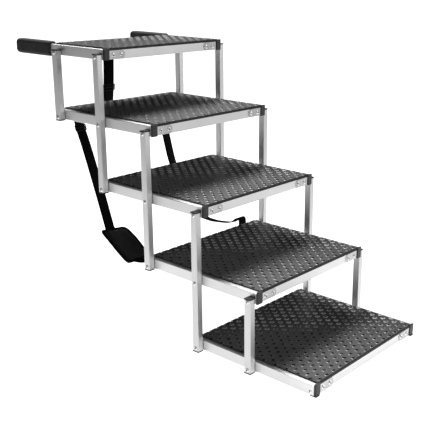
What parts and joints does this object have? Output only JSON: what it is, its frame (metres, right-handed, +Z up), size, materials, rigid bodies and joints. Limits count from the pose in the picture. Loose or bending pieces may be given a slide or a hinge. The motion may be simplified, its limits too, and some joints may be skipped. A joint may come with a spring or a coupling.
{
  "type": "folding dog ramp steps",
  "caption": "Folding aluminium pet steps with embossed black treads, parallel pivoting legs, foam grips and webbing straps.",
  "frame": {"origin": "on the floor, at the middle of the footprint box", "axes": "+Y uphill from the bottom tread to the grips, +X to the right of someone walking up, +Z up"},
  "size_m": [0.4586, 0.9988, 0.6815],
  "materials": {
    "aluminium": "satin anodised",
    "panel": "satin, embossed",
    "connector": "moulded, fine grain",
    "grip": "matte foam",
    "webbing": "woven",
    "pad": "padded weave"
  },
  "bodies": {
    "tread_5": {"front_connector_left_5": "connector", "front_connector_right_5": "connector", "front_rail_5": "aluminium", "panel_5": "panel", "rear_rail_5": "aluminium", "side_rail_left_5": "aluminium", "side_rail_right_5": "aluminium"},
    "legs_d": {"leg_d_left": "aluminium", "leg_d_right": "aluminium"},
    "legs_e": {"leg_e_left": "aluminium", "leg_e_right": "aluminium"},
    "tread_4": {"front_connector_left_4": "connector", "front_connector_right_4": "connector", "front_rail_4": "aluminium", "panel_4": "panel", "rear_rail_4": "aluminium", "side_rail_left_4": "aluminium", "side_rail_right_4": "aluminium", "shoulder_pad_left": "pad", "shoulder_pad_right": "pad", "shoulder_strap_left": "webbing", "shoulder_strap_right": "webbing", "strap_slider_left": "connector", "strap_slider_right": "connector"},
    "tread_3": {"front_connector_left_3": "connector", "front_connector_right_3": "connector", "front_rail_3": "aluminium", "panel_3": "panel", "rear_rail_3": "aluminium", "side_rail_left_3": "aluminium", "side_rail_right_3": "aluminium"},
    "legs_c": {"leg_c_left": "aluminium", "leg_c_right": "aluminium"},
    "tread_2": {"front_connector_left_2": "connector", "front_connector_right_2": "connector", "front_rail_2": "aluminium", "panel_2": "panel", "rear_rail_2": "aluminium", "side_rail_left_2": "aluminium", "side_rail_right_2": "aluminium"},
    "legs_b": {"leg_b_left": "aluminium", "leg_b_right": "aluminium"},
    "tread_1": {"front_connector_left_1": "connector", "front_connector_right_1": "connector", "front_rail_1": "aluminium", "panel_1": "panel", "rear_rail_1": "aluminium", "side_rail_left_1": "aluminium", "side_rail_right_1": "aluminium", "grip_left": "grip", "grip_right": "grip", "closing_strap": "webbing", "closing_slider": "connector"},
    "legs_a": {"leg_a_left": "aluminium", "leg_a_right": "aluminium"}
  },
  "joints": [
    {"name": "fold", "type": "hinge", "parent": "tread_5", "child": "legs_d", "pos_m": [0, -0.17195, 0.0095], "axis": [1, 0, 0], "range_deg": [0, 78], "deforming": ["shoulder_pad_left", "shoulder_pad_right", "shoulder_strap_left", "shoulder_strap_right", "strap_slider_left", "strap_slider_right", "closing_strap", "closing_slider", "grip_left", "grip_right"]},
    {"name": "fold_legs_e", "type": "hinge", "parent": "tread_5", "child": "legs_e", "pos_m": [0, -0.32895, 0.0095], "axis": [1, 0, 0], "range_deg": [0, 78]},
    {"name": "fold_tread_4", "type": "hinge", "parent": "legs_d", "child": "tread_4", "pos_m": [0, -0.16735, 0.1717], "axis": [1, 0, 0], "range_deg": [-78, 0]},
    {"name": "fold_tread_3", "type": "hinge", "parent": "legs_d", "child": "tread_3", "pos_m": [0, -0.16275, 0.3339], "axis": [1, 0, 0], "range_deg": [-78, 0]},
    {"name": "fold_legs_c", "type": "hinge", "parent": "tread_4", "child": "legs_c", "pos_m": [0, -0.01035, 0.1717], "axis": [1, 0, 0], "range_deg": [0, 78]},
    {"name": "fold_tread_2", "type": "hinge", "parent": "legs_c", "child": "tread_2", "pos_m": [0, -0.00115, 0.4961], "axis": [1, 0, 0], "range_deg": [-78, 0]},
    {"name": "fold_legs_b", "type": "hinge", "parent": "tread_3", "child": "legs_b", "pos_m": [0, 0.15125, 0.3339], "axis": [1, 0, 0], "range_deg": [0, 78]},
    {"name": "fold_tread_1", "type": "hinge", "parent": "legs_b", "child": "tread_1", "pos_m": [0, 0.16045, 0.6583], "axis": [1, 0, 0], "range_deg": [-78, 0]},
    {"name": "fold_legs_a", "type": "hinge", "parent": "tread_2", "child": "legs_a", "pos_m": [0, 0.31285, 0.4961], "axis": [1, 0, 0], "range_deg": [0, 78]}
  ],
  "couplings": [
    {"joint": "fold_legs_e", "follows": "fold", "ratio": 1},
    {"joint": "fold_tread_4", "follows": "fold", "ratio": -1},
    {"joint": "fold_tread_3", "follows": "fold", "ratio": -1},
    {"joint": "fold_legs_c", "follows": "fold", "ratio": 1},
    {"joint": "fold_tread_2", "follows": "fold", "ratio": -1},
    {"joint": "fold_legs_b", "follows": "fold", "ratio": 1},
    {"joint": "fold_tread_1", "follows": "fold", "ratio": -1},
    {"joint": "fold_legs_a", "follows": "fold", "ratio": 1}
  ]
}
